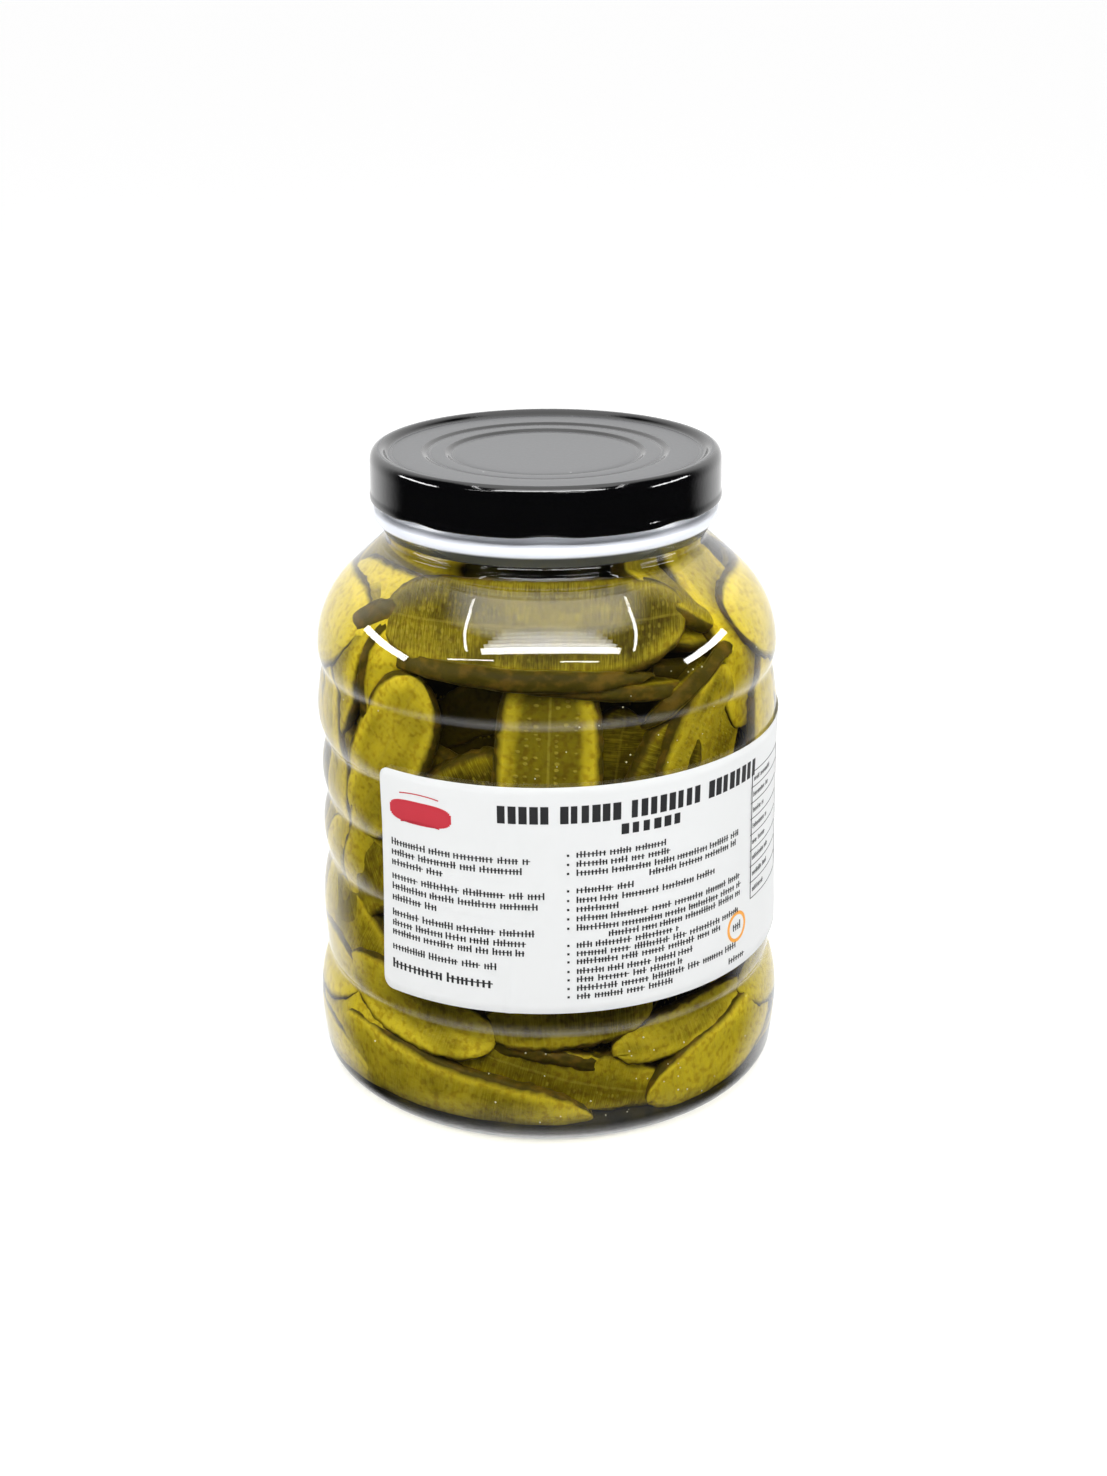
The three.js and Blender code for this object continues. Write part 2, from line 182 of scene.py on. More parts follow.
def lathe(name, outline, sides, material, closed=False, rule=None):
    """Turns an outline round +Z. An open outline starts and ends on the axis."""
    corners, faces, rings = [], [], []
    for radius, height in outline:
        if radius < 1e-6:
            rings.append([len(corners)] * sides)
            corners.append((0, 0, height))
            continue
        rings.append(list(range(len(corners), len(corners) + sides)))
        for i in range(sides):
            turn = 2 * math.pi * i / sides
            point = (radius * math.sin(turn), -radius * math.cos(turn), height)
            corners.append(rule(point, turn) if rule else point)
    if closed:
        rings.append(rings[0])
    for lower, upper in zip(rings, rings[1:]):
        for i in range(sides):
            j = (i + 1) % sides
            ring = [lower[i], lower[j], upper[j], upper[i]]
            face = [c for k, c in enumerate(ring) if c not in ring[:k]]
            if len(face) > 2:
                faces.append(face)
    return add_mesh(name, corners, faces, material)


# Materials.

EVEN = (1.0, 1.0, 1.0)
CLEAR_PET = {"Base Color": (1, 1, 1, 1), "Roughness": 0.0, "IOR": 1.48, "Transmission Weight": 1.0}
PET_SHADOW = (0.97, 0.97, 0.96)
CLEAR_BRINE = {"Base Color": (1, 1, 1, 1), "Roughness": 0.0, "IOR": 1.34, "Transmission Weight": 1.0,
               "Specular IOR Level": 0.0}
BRINE_TINT = (0.93, 0.86, 0.1)
BRINE_DENSITY = 26.0
NECK_WHITE = (0.78, 0.81, 0.88)
# The grey under the collar is painted shade on its downward face.
NECK_GREY = (0.05, 0.055, 0.052)
NECK_WHITE_FROM = (182.2, 183.2)
LACQUER = (0.0015, 0.0015, 0.0018)
# The lighter grey of the lid's flat top is a painted sheen; the grain between these two greys is the lid's
# own.
SATIN_DARK = (0.05, 0.052, 0.056)
SATIN_LIGHT = (0.085, 0.087, 0.092)
DUST = (0.7, 0.7, 0.7)
PAPER = (0.69, 0.7, 0.7)
INK_BLACK = (0.02, 0.02, 0.022)
INK_RED = (0.52, 0.012, 0.03)
INK_ORANGE = (0.85, 0.36, 0.04)
SPECK_WHITE = (0.8, 0.78, 0.6)
FLESH_PALE = (0.58, 0.465, 0.024)
FLESH_OLIVE = (0.21, 0.165, 0.004)
FLESH_DARK = (0.045, 0.034, 0.0006)
# The near-black flesh colour is painted shade.
FLESH_DEEP = (0.006, 0.0045, 0.0002)
FLESH_FIBRE = (0.46, 0.38, 0.035)
SEED = (0.34, 0.28, 0.04)
SKIN_OLIVE = (0.052, 0.040, 0.003)
SKIN_BROWN = (0.10, 0.062, 0.007)
MOTTLE = (0.62, 0.52, 0.4)
# The core's two colours are painted shade.
CORE_DARK = (0.004, 0.0032, 0.0003)
CORE_OLIVE = (0.035, 0.028, 0.0014)
BRINE_SHEEN = 0.06


class Graph:
    """The nodes of one material or of the world, with a short way to add what is used most."""

    def __init__(self, tree):
        self.nodes = tree.nodes
        self.links = tree.links

    def add(self, kind, **values):
        """A new node. Each value goes to its input of that name, or else to its setting."""
        node = self.nodes.new(kind)
        for key, value in values.items():
            if key in node.inputs:
                node.inputs[key].default_value = value
            else:
                setattr(node, key, value)
        return node

    def link(self, output, socket):
        self.links.new(output, socket)

    def fill(self, socket, value):
        """Gives a socket a number, a colour or another node's output."""
        if isinstance(value, (int, float)):
            socket.default_value = value
        elif isinstance(value, tuple):
            socket.default_value = (*value, 1)
        else:
            self.link(value, socket)

    def attribute(self, name, output):
        return self.add("ShaderNodeAttribute", attribute_name=name).outputs[output]

    def place(self):
        return self.add("ShaderNodeTexCoord").outputs["Object"]

    def split(self, vector):
        node = self.add("ShaderNodeSeparateXYZ")
        self.link(vector, node.inputs["Vector"])
        return node.outputs["X"], node.outputs["Y"], node.outputs["Z"]

    def math(self, operation, first, second=0.5):
        node = self.add("ShaderNodeMath", operation=operation)
        self.fill(node.inputs[0], first)
        self.fill(node.inputs[1], second)
        return node.outputs["Value"]

    def times(self, first, *others):
        for value in others:
            first = self.math("MULTIPLY", first, value)
        return first

    def ramp(self, value, low, high, out_low=0.0, out_high=1.0):
        """A smooth step from one number to another, while the value runs from low to high."""
        node = self.add("ShaderNodeMapRange", interpolation_type="SMOOTHSTEP")
        ends = {"From Min": low, "From Max": high, "To Min": out_low, "To Max": out_high}
        for name, number in ends.items():
            node.inputs[name].default_value = number
        self.link(value, node.inputs["Value"])
        return node.outputs["Result"]

    def mix(self, factor, first, second, blend="MIX"):
        node = self.add("ShaderNodeMix", data_type="RGBA", blend_type=blend)
        for index, value in ((0, factor), (6, first), (7, second)):
            self.fill(node.inputs[index], value)
        return node.outputs[2]

    def stretched(self, vector, stretch):
        node = self.add("ShaderNodeMapping", Scale=stretch)
        self.link(vector, node.inputs["Vector"])
        return node.outputs["Vector"]

    def noise(self, vector, stretch, scale, detail=3.0):
        node = self.add("ShaderNodeTexNoise", Scale=scale, Detail=detail)
        self.link(self.stretched(vector, stretch), node.inputs["Vector"])
        return node.outputs["Fac"]

    def bump(self, shader, height, strength, distance):
        node = self.add("ShaderNodeBump", Strength=strength, Distance=distance)
        self.link(height, node.inputs["Height"])
        self.link(node.outputs["Normal"], shader.inputs["Normal"])


def new_material(name, values):
    """A material, its graph and its shader, with values for the shader's own sockets."""
    material = bpy.data.materials.new(name)
    material.use_nodes = True
    shader = material.node_tree.nodes["Principled BSDF"]
    for socket, value in values.items():
        shader.inputs[socket].default_value = value
    return material, Graph(material.node_tree), shader


def plain_material(name, colour):
    """One even colour, for the paper, the inks and the specks."""
    return new_material(name, {"Base Color": (*colour, 1), "Roughness": 0.5})[0]


def let_light_through(graph, shader, colour):
    """Shadow rays pass, so that the light reaches what the clear part holds."""
    clear = graph.add("ShaderNodeBsdfTransparent", Color=(*colour, 1))
    path = graph.add("ShaderNodeLightPath")
    mix = graph.add("ShaderNodeMixShader")
    graph.link(path.outputs["Is Shadow Ray"], mix.inputs["Fac"])
    graph.link(shader.outputs["BSDF"], mix.inputs[1])
    graph.link(clear.outputs["BSDF"], mix.inputs[2])
    graph.link(mix.outputs["Shader"], graph.nodes["Material Output"].inputs["Surface"])


def plastic_material():
    material, graph, shader = new_material("clear_pet", CLEAR_PET)
    let_light_through(graph, shader, PET_SHADOW)
    return material


def brine_material():
    material, graph, shader = new_material("brine", CLEAR_BRINE)
    let_light_through(graph, shader, (1, 1, 1))
    volume = graph.add("ShaderNodeVolumeAbsorption", Color=(*BRINE_TINT, 1), Density=BRINE_DENSITY)
    graph.link(volume.outputs["Volume"], graph.nodes["Material Output"].inputs["Volume"])
    return material


def neck_material():
    """White from the collar's lower edge upwards, and dark grey under it: painted shade on the collar's
    downward face.
    """
    material, graph, shader = new_material("white_neck", {"Roughness": 0.2, "IOR": 1.57})
    height = graph.split(graph.place())[2]
    white = graph.ramp(height, NECK_WHITE_FROM[0] * MM, NECK_WHITE_FROM[1] * MM)
    graph.link(graph.mix(white, NECK_GREY, NECK_WHITE), shader.inputs["Base Color"])
    return material


def lid_material():
    """Black lacquer: semi-matt on the flat top, glossy on the rim and skirt, with a little dust on top. Its
    flat top is drawn a lighter grey, a painted sheen, and the tilted walls of the top's steps black, painted
    shade lines.
    """
    material, graph, shader = new_material("black_lacquer", {"IOR": 1.65})
    place = graph.place()
    flat = graph.ramp(graph.split(graph.add("ShaderNodeNewGeometry").outputs["Normal"])[2], 0.968, 0.998)
    graph.link(graph.ramp(flat, 0.0, 1.0, 0.07, 0.34), shader.inputs["Roughness"])
    grain = graph.noise(place, EVEN, 900.0, 2.0)
    grit = graph.add("ShaderNodeTexVoronoi", feature="F1", Scale=130.0)
    graph.link(place, grit.inputs["Vector"])
    clumps = graph.noise(place, EVEN, 45.0, 1.0)
    specks = graph.times(graph.ramp(grit.outputs["Distance"], 0.07, 0.03), graph.ramp(clumps, 0.56, 0.62))
    satin = graph.mix(specks, graph.mix(grain, SATIN_DARK, SATIN_LIGHT), DUST)
    # Painted sheen and shade: flat faces get the lighter grey, tilted step walls the black lacquer colour.
    graph.link(graph.mix(flat, LACQUER, satin), shader.inputs["Base Color"])
    graph.bump(shader, grain, 0.12, 0.0002)
    return material


def flesh_tone(graph, place, edge, tone):
    """How dark the flesh is: the slice's own tone, which is partly its green and partly painted shade,
    clouded, and paler towards the rim.
    """
    clouds = graph.noise(place, (0.6, 1.0, 1.0), 0.07)
    tone = graph.math("ADD", graph.ramp(clouds, 0.3, 0.7, -0.2, 0.2), tone)
    return graph.math("SUBTRACT", tone, graph.ramp(edge, 5.0, 1.0, 0.0, 0.2))


def flesh_colour(graph, place, tone):
    """From pale to dark olive with the tone, with light fibres across the slice."""
    colour = graph.mix(graph.ramp(tone, 0.0, 0.55), FLESH_PALE, FLESH_OLIVE)
    colour = graph.mix(graph.ramp(tone, 0.5, 1.1), colour, FLESH_DARK)
    fibres = graph.ramp(graph.noise(place, (2.6, 0.14, 1.0), 1.0, 2.0), 0.44, 0.64, 0.0, 0.4)
    return graph.mix(graph.times(fibres, graph.ramp(tone, 1.3, 0.6)), colour, FLESH_FIBRE)


def seed_pattern(graph, place, across, edge, seeded):
    """Seeds in two rows, one on each side of the middle line."""
    cells = graph.add("ShaderNodeTexVoronoi", feature="F1", Scale=1.0, Randomness=0.4)
    graph.link(graph.stretched(place, (0.55, 0.34, 1.0)), cells.inputs["Vector"])
    return graph.times(graph.ramp(cells.outputs["Distance"], 0.34, 0.22), graph.ramp(across, 1.3, 2.0),
                       graph.ramp(edge, 4.5, 6.0), seeded)


def skin_colour(graph):
    specks = graph.noise(graph.place(), (1.0, 1.0, 1.6), 230.0, 4.0)
    return graph.mix(graph.ramp(specks, 0.42, 0.66), SKIN_OLIVE, SKIN_BROWN)


def flesh_material():
    """Pale cut flesh, a darker wet middle with two rows of seeds, and a bumpy olive to brown skin."""
    material, graph, shader = new_material("gherkin", {"Roughness": 0.42, "Specular IOR Level": BRINE_SHEEN})
    place = graph.attribute("cut_place", "Vector")
    seeded = graph.attribute("cut_seeds", "Fac")
    edge, skin, own_tone = graph.split(graph.attribute("cut_zone", "Vector"))
    across = graph.math("ABSOLUTE", graph.split(place)[1])
    tone = flesh_tone(graph, place, edge, own_tone)
    colour = flesh_colour(graph, place, tone)
    colour = graph.mix(graph.times(graph.ramp(edge, 4.0, 7.0, 0.0, 0.7), seeded), colour, FLESH_DARK)
    seeds = seed_pattern(graph, place, across, edge, seeded)
    colour = graph.mix(graph.times(seeds, 0.9), colour, SEED)
    colour = graph.mix(graph.times(graph.ramp(across, 0.6, 0.2, 0.0, 0.6), seeded), colour, SEED)
    mottle = graph.ramp(graph.noise(place, EVEN, 0.5, 5.0), 0.45, 0.68, 0.0, 0.75)
    colour = graph.mix(mottle, colour, MOTTLE, "MULTIPLY")
    colour = graph.mix(skin, colour, skin_colour(graph))
    # Tones from 1.3 up turn the flesh near black: painted shade for slices in the gaps.
    colour = graph.mix(graph.ramp(tone, 1.3, 2.0), colour, FLESH_DEEP)
    graph.link(colour, shader.inputs["Base Color"])
    rough = graph.noise(place, (0.8, 1.0, 1.0), 0.9, 4.0)
    graph.bump(shader, graph.math("ADD", graph.times(rough, 0.6), seeds), 0.5, 0.0006)
    return material


def core_material():
    material, graph, shader = new_material("gherkin_core_painted_shade",
                                           {"Roughness": 0.6, "Specular IOR Level": BRINE_SHEEN})
    # Near black with faint olive clouds: painted shade of the pickles inside.
    clouds = graph.ramp(graph.noise(graph.place(), EVEN, 60.0), 0.4, 0.7)
    graph.link(graph.mix(clouds, CORE_DARK, CORE_OLIVE), shader.inputs["Base Color"])
    return material


# The jar's clear body, its white neck, the lid and the brine.

def make_body(material):
    outer = softened(body_outline())
    inner = moved_in(outer, WALL)
    return lathe("clear_body", outer + NECK_OUTER + NECK_INNER + inner[::-1], JAR_SIDES, material)


def make_neck(material):
    return lathe("white_neck", COLLAR, JAR_SIDES, material, closed=True)


def make_brine(material):
    outer = softened(body_outline())
    return lathe("brine", moved_in(outer, WALL - INTO_WALL) + BRINE_NECK, JAR_SIDES, material)


def lid_rule(point, turn):
    """The hem dips inwards and rises at each lug."""
    depth = 1 - (point[2] - LUGS["low"]) / LUGS["tall"]
    if depth <= 0:
        return point
    dip = max(0.0, math.cos(LUGS["count"] * (turn - math.pi / 2))) ** 2 * depth
    radius = math.hypot(point[0], point[1])
    scale = 1 - LUGS["inwards"] * dip / radius
    return (point[0] * scale, point[1] * scale, point[2] + LUGS["upwards"] * dip)


def make_lid(material):
    return lathe("lid_cap", softened(LID_PROFILE), LID_SIDES, material, rule=lid_rule)


def label_radius(height):
    for (low, low_radius), (high, high_radius) in zip(LABEL_RADII, LABEL_RADII[1:]):
        if height <= high:
            t = (height - low) / (high - low)
            return low_radius + (high_radius - low_radius) * t
    return LABEL_RADII[-1][1]


def on_label(turn, height, out=0.0):
    angle = math.radians(turn)
    level = height + LABEL["lean"] * angle
    crease = math.exp(-((turn - WRINKLE["turn"]) / WRINKLE["width"]) ** 2)
    crease *= 1 - min(1.0, max(0.0, (height - WRINKLE["low"]) / (WRINKLE["high"] - WRINKLE["low"])))
    radius = label_radius(level) + LABEL_OUT + out + WRINKLE["rise"] * crease
    return (radius * math.sin(angle), -radius * math.cos(angle), level)


def label_stops():
    """The turns of the label's columns, closer together round its corners."""
    corner_turn = math.degrees(LABEL["corner"] / LABEL["radius"])
    steps, columns = LABEL_GRID["corner"], LABEL_GRID["columns"]
    span = LABEL["end"] - LABEL["start"] - 2 * corner_turn
    stops = [LABEL["start"] + corner_turn * (1 - math.cos(math.pi / 2 * i / steps)) for i in range(steps)]
    stops += [LABEL["start"] + corner_turn + span * i / columns for i in range(columns + 1)]
    stops += [LABEL["end"] - corner_turn + corner_turn * math.sin(math.pi / 2 * i / steps)
              for i in range(1, steps + 1)]
    return stops


def sheet_faces(columns, rows):
    """Faces of a thin sheet, whose corners run by side, then by column, then by row."""
    def at(side, column, row):
        return (side * columns + column) * (rows + 1) + row

    last = columns - 1
    faces = []
    for c in range(last):
        for r in range(rows):
            faces.append([at(0, c, r), at(0, c + 1, r), at(0, c + 1, r + 1), at(0, c, r + 1)])
            faces.append([at(1, c, r), at(1, c, r + 1), at(1, c + 1, r + 1), at(1, c + 1, r)])
    for c in range(last):
        faces.append([at(0, c, 0), at(1, c, 0), at(1, c + 1, 0), at(0, c + 1, 0)])
        faces.append([at(0, c, rows), at(0, c + 1, rows), at(1, c + 1, rows), at(1, c, rows)])
    for r in range(rows):
        faces.append([at(0, 0, r), at(0, 0, r + 1), at(1, 0, r + 1), at(1, 0, r)])
        faces.append([at(0, last, r), at(1, last, r), at(1, last, r + 1), at(0, last, r + 1)])
    return faces


def make_label(material):
    rows, stops = LABEL_GRID["rows"], label_stops()
    corner_turn = math.degrees(LABEL["corner"] / LABEL["radius"])
    middle = (LABEL["low"] + LABEL["high"]) / 2
    corners = []
    for side in (1, 0):
        for turn in stops:
            edge = min(turn - LABEL["start"], LABEL["end"] - turn) / corner_turn
            cut = LABEL["corner"] * (1 - math.sqrt(max(0.0, 1 - (1 - min(edge, 1)) ** 2)))
            half = (LABEL["high"] - LABEL["low"]) / 2 - cut
            for row in range(rows + 1):
                corners.append(on_label(turn, middle + half * (2 * row / rows - 1), LABEL_THICK * side))
    return add_mesh("label_sheet", corners, sheet_faces(len(stops), rows), material)


# The label's print: tiles and strokes in rows, a red oval, a thin table and an orange ring. Rows are given
# by their height and the turn where they end. A type is the width of a stroke and its height.

INK_LIFT = 0.05
INK_STEP = 1.6
TITLE = {"turn": -11.5, "height": 110.0, "words": (16.0, 19.0, 25.0, 25.5), "gap": 2.6, "tall": 5.6,
         "pitch": 3.3, "fill": (0.6, 0.8)}
SUBTITLE = {"turn": 17.0, "height": 104.0, "words": (21.0,), "gap": 0, "tall": 3.4, "pitch": 3.4,
            "fill": (0.55, 0.7)}
STROKES = {"letters": (3.0, 10.0), "pitch": 2.6, "bar": 0.5, "bar_rise": 0.1, "rises": (0.0, 0.0, 0.28),
           "steps": (1.9, 2.2, 2.5)}
LEFT_START = -39.4
LEFT_TYPE = (0.5, 1.75)
LEFT_ROWS = [(95.1, -4), (91.8, -5), (88.5, -24.5), (83.9, -1), (80.5, -2.5), (76.9, -27), (71.9, -3),
             (68.6, -5), (65.6, -5.5), (60.7, -12)]
BOLD_TYPE = (0.72, 2.4)
BOLD_ROW = (55.0, -12.2)
RIGHT_START = 6.5
RIGHT_TYPE = (0.5, 1.6)
RIGHT_ROWS = [(97.0, 29), (94.1, 29.5), (91.2, 52), (85.6, 20), (82.5, 43), (79.6, 17), (76.6, 53),
              (73.6, 53.5), (68.1, 32), (65.4, 52), (62.8, 45), (59.7, 36), (57.0, 33), (54.2, 51),
              (51.5, 30)]
RIGHT_INDENTED = [(88.4, 24, 51), (70.9, 14, 53)]
BULLET = {"before": 2.2, "size": 0.7}
TABLE = {"start": 58.0, "end": 79.0, "high": 108.5, "low": 66.0, "rows": 8, "line": 0.28, "indent": 1.2,
         "entry": (7, 12), "drop": 2.8, "type": (0.4, 1.3)}
RING_MARK = {"turn": 51.7, "height": 60.0, "radius": 5.0, "line": 1.1, "inside": (-1.6, 1.4),
             "type": (0.5, 2.2), "below": (-3.4, 3.2), "below_height": 49.6}
RED_MARK = {"turn": -31.0, "height": 106.4, "width": 22.0, "tall": 7.4, "power": 3.0, "arch": 1.6,
            "arc_gap": 0.9, "arc_reach": 0.62, "line": 0.35, "columns": 44}


def add_block(corners, faces, turn, height, width, tall):
    """A block of ink on the paper, from its left middle, in short columns that follow the curve."""
    columns = max(1, math.ceil(width / INK_STEP))
    start = len(corners)
    for i in range(columns + 1):
        angle = turn + math.degrees(width * i / columns / label_radius(height))
        for level, out in ((height - tall / 2, 0), (height + tall / 2, 0), (height + tall / 2, 1),
                           (height - tall / 2, 1)):
            corners.append(on_label(angle, level, LABEL_THICK - INK_LIFT + 2 * INK_LIFT * out))
    for i in range(columns):
        a, b = start + 4 * i, start + 4 * (i + 1)
        for j in range(4):
            k = (j + 1) % 4
            faces.append([a + j, a + k, b + k, b + j])
    faces.append([start + j for j in (3, 2, 1, 0)])
    faces.append([start + 4 * columns + j for j in range(4)])


def add_strokes(corners, faces, draw, turn, end, height, kind):
    """A row of words: upright strokes of two heights, joined by a thin bar."""
    stroke, tall = kind
    radius = label_radius(height)
    length, limit = 0.0, math.radians(end - turn) * radius
    while length < limit:
        word = min(draw.uniform(*STROKES["letters"]) * stroke * STROKES["pitch"], limit - length)
        stop = length + word
        add_block(corners, faces, turn + math.degrees(length / radius), height + tall * STROKES["bar_rise"],
                  word, stroke * STROKES["bar"])
        while length < stop - stroke * STROKES["bar"]:
            raised = tall * draw.choice(STROKES["rises"])
            add_block(corners, faces, turn + math.degrees(length / radius), height + raised / 2, stroke,
                      tall + raised)
            length += stroke * draw.choice(STROKES["steps"])
        length = stop + stroke * STROKES["pitch"]


def add_tiles(corners, faces, draw, row):
    """A heading: words of plain upright tiles."""
    radius = label_radius(row["height"])
    turn = row["turn"]
    for width in row["words"]:
        count = max(1, round(width / row["pitch"]))
        for i in range(count):
            add_block(corners, faces, turn + math.degrees(i * width / count / radius), row["height"],
                      width / count * draw.uniform(*row["fill"]), row["tall"])
        turn += math.degrees((width + row["gap"]) / radius)


def add_table(corners, faces, draw):
    """A thin frame with a short row of strokes in each line."""
    start, end, high, low = TABLE["start"], TABLE["end"], TABLE["high"], TABLE["low"]
    width = math.radians(end - start) * label_radius(high)
    for i in range(TABLE["rows"] + 1):
        height = high + (low - high) * i / TABLE["rows"]
        add_block(corners, faces, start, height, width, TABLE["line"])
        if i < TABLE["rows"]:
            add_strokes(corners, faces, draw, start + TABLE["indent"], start + draw.uniform(*TABLE["entry"]),
                        height - TABLE["drop"], TABLE["type"])
    for turn in (start, end):
        add_block(corners, faces, turn, (high + low) / 2, TABLE["line"], high - low)


def make_black_print(material):
    corners, faces = [], []
    draw = random.Random(5)
    for row in (TITLE, SUBTITLE):
        add_tiles(corners, faces, draw, row)
    for height, end in LEFT_ROWS:
        add_strokes(corners, faces, draw, LEFT_START, end, height, LEFT_TYPE)
    add_strokes(corners, faces, draw, LEFT_START, BOLD_ROW[1], BOLD_ROW[0], BOLD_TYPE)
    for height, end in RIGHT_ROWS:
        add_block(corners, faces, RIGHT_START - BULLET["before"], height, BULLET["size"], BULLET["size"])
        add_strokes(corners, faces, draw, RIGHT_START, end, height, RIGHT_TYPE)
    for height, start, end in RIGHT_INDENTED:
        add_strokes(corners, faces, draw, start, end, height, RIGHT_TYPE)
    add_table(corners, faces, draw)
    turn = RING_MARK["turn"]
    start, end = RING_MARK["below"]
    add_strokes(corners, faces, draw, turn + start, turn + end, RING_MARK["below_height"], RIGHT_TYPE)
    start, end = RING_MARK["inside"]
    add_strokes(corners, faces, draw, turn + start, turn + end, RING_MARK["height"], RING_MARK["type"])
    return add_mesh("label_print_black", corners, faces, material, smooth=False)


def add_flat_shape(corners, faces, turn, height, inner, outer):
    """A raised band between two closed outlines of (along, up) pairs round a point of the label."""
    start, count = len(corners), len(outer)
    for outline, out in ((inner, 0), (inner, 1), (outer, 1), (outer, 0)):
        for along, up in outline:
            angle = turn + math.degrees(along / label_radius(height))
            corners.append(on_label(angle, height + up, LABEL_THICK - INK_LIFT + 2 * INK_LIFT * out))
    for band in range(4):
        following = (band + 1) % 4
        for i in range(count):
            j = (i + 1) % count
            faces.append([start + band * count + i, start + band * count + j,
                          start + following * count + j, start + following * count + i])


def round_outline(half_width, half_tall, count=48, power=2.0):
    points = []
    for i in range(count):
        turn = 2 * math.pi * i / count
        x, y = math.cos(turn), math.sin(turn)
        points.append((math.copysign(abs(x) ** (2 / power), x) * half_width,
                       math.copysign(abs(y) ** (2 / power), y) * half_tall))
    return points


def make_ring_print(material):
    corners, faces = [], []
    radius, line = RING_MARK["radius"], RING_MARK["line"]
    add_flat_shape(corners, faces, RING_MARK["turn"], RING_MARK["height"],
                   round_outline(radius - line, radius - line), round_outline(radius, radius))
    return add_mesh("label_print_orange", corners, faces, material, smooth=False)


def make_red_print(material):
    """A filled oval with a thin arc over it and another under it."""
    corners, faces = [], []
    radius = label_radius(RED_MARK["height"])
    half, columns = RED_MARK["width"] / 2, RED_MARK["columns"]
    for i in range(columns):
        along = (i + 0.5) / columns * 2 - 1
        turn = RED_MARK["turn"] + math.degrees((along - 1 / columns) * half / radius)
        tall = RED_MARK["tall"] * (1 - abs(along) ** RED_MARK["power"]) ** (1 / RED_MARK["power"])
        add_block(corners, faces, turn, RED_MARK["height"], 2 * half / columns, tall)
        arch = RED_MARK["arch"] * (1 - along * along)
        if abs(along) < RED_MARK["arc_reach"]:
            for side in (1, -1):
                away = RED_MARK["tall"] / 2 + RED_MARK["arc_gap"] + side * arch
                add_block(corners, faces, turn, RED_MARK["height"] + side * away, 2 * half / columns,
                          RED_MARK["line"])
    return add_mesh("label_print_red", corners, faces, material, smooth=False)


# Gherkin slices. They press against a surface just inside the wall. It is straight up the jar, wider in the
# bumper, drawn in at the base, and follows the shoulder into the neck.

SLICE_LOWEST = 3.0
SLICE_TOP = 184.0
PRESS = {"radius": 70.15, "under_shoulder": 3, "body_steps": 69, "bumper": 2.6, "bumper_top": (27, 36),
         "base": 5.5, "base_top": 11, "off_wall": 1.35, "shoulder_steps": 24, "neck": 46.6, "neck_step": 0.7}


def smooth_step(low, high, value):
    t = min(1.0, max(0.0, (value - low) / (high - low)))
    return t * t * (3 - 2 * t)


def press_outline():
    """The surface that the slices press against, from the base up into the neck."""
    points = []
    top = SHOULDER["height"] - PRESS["under_shoulder"]
    for i in range(PRESS["body_steps"] + 1):
        height = SLICE_LOWEST + (top - SLICE_LOWEST) * i / PRESS["body_steps"]
        bumper = PRESS["bumper"] * (1 - smooth_step(*PRESS["bumper_top"], height))
        base = PRESS["base"] * (1 - smooth_step(0, PRESS["base_top"], height))
        points.append((PRESS["radius"] + bumper - base, height))
    inside = SHOULDER["arc"] - WALL - PRESS["off_wall"]
    for i in range(1, PRESS["shoulder_steps"] + 1):
        turn = math.radians(SHOULDER["steepest"] * i / PRESS["shoulder_steps"])
        points.append((min(PRESS["radius"], SHOULDER["centre"] + inside * math.cos(turn)),
                       top + inside * math.sin(turn)))
    radius, height = points[-1]
    while radius > PRESS["neck"]:
        radius -= PRESS["neck_step"]
        height += PRESS["neck_step"]
        points.append((radius, height))
    return points + [(PRESS["neck"], SLICE_TOP)]


PRESS_LINE = press_outline()
PRESS_LENGTH = [0.0]
for (r0, z0), (r1, z1) in zip(PRESS_LINE, PRESS_LINE[1:]):
    PRESS_LENGTH.append(PRESS_LENGTH[-1] + math.hypot(r1 - r0, z1 - z0))


def press_at(length):
    """Radius, height and direction of the pressed surface at a length along its outline."""
    length = min(PRESS_LENGTH[-1] - 1e-4, max(0.0, length))
    low, high = 0, len(PRESS_LENGTH) - 1
    while high - low > 1:
        middle = (low + high) // 2
        if PRESS_LENGTH[middle] <= length:
            low = middle
        else:
            high = middle
    t = (length - PRESS_LENGTH[low]) / (PRESS_LENGTH[high] - PRESS_LENGTH[low])
    (r0, z0), (r1, z1) = PRESS_LINE[low], PRESS_LINE[high]
    slope = Vector((r1 - r0, z1 - z0)).normalized()
    return r0 + (r1 - r0) * t, z0 + (z1 - z0) * t, slope


def length_at(height):
    for i, (_, z) in enumerate(PRESS_LINE):
        if z >= height:
            return PRESS_LENGTH[i]
    return PRESS_LENGTH[-1]


# Each slice has the turn and height of its middle, the tilt of its long axis, the roll of its flat face away
# from the wall (90 is edge on), its depth behind the wall, its bend to the side, how far its seeds show,
# how dark its flesh is (partly its own green, partly painted shade for slices in gaps and deep inside; from
# 1.3 up only painted shade), and whether its face is skin.
SLICE_DEFAULTS = {"roll": 0, "length": 92, "width": 32, "thick": 6.0, "deep": 0.6, "bend": 0, "seeds": 0.8,
                  "tone": 0.4, "skin": 0}


def slice_at(turn, height, tilt, **rest):
    return {**SLICE_DEFAULTS, "turn": turn, "height": height, "tilt": tilt, **rest}


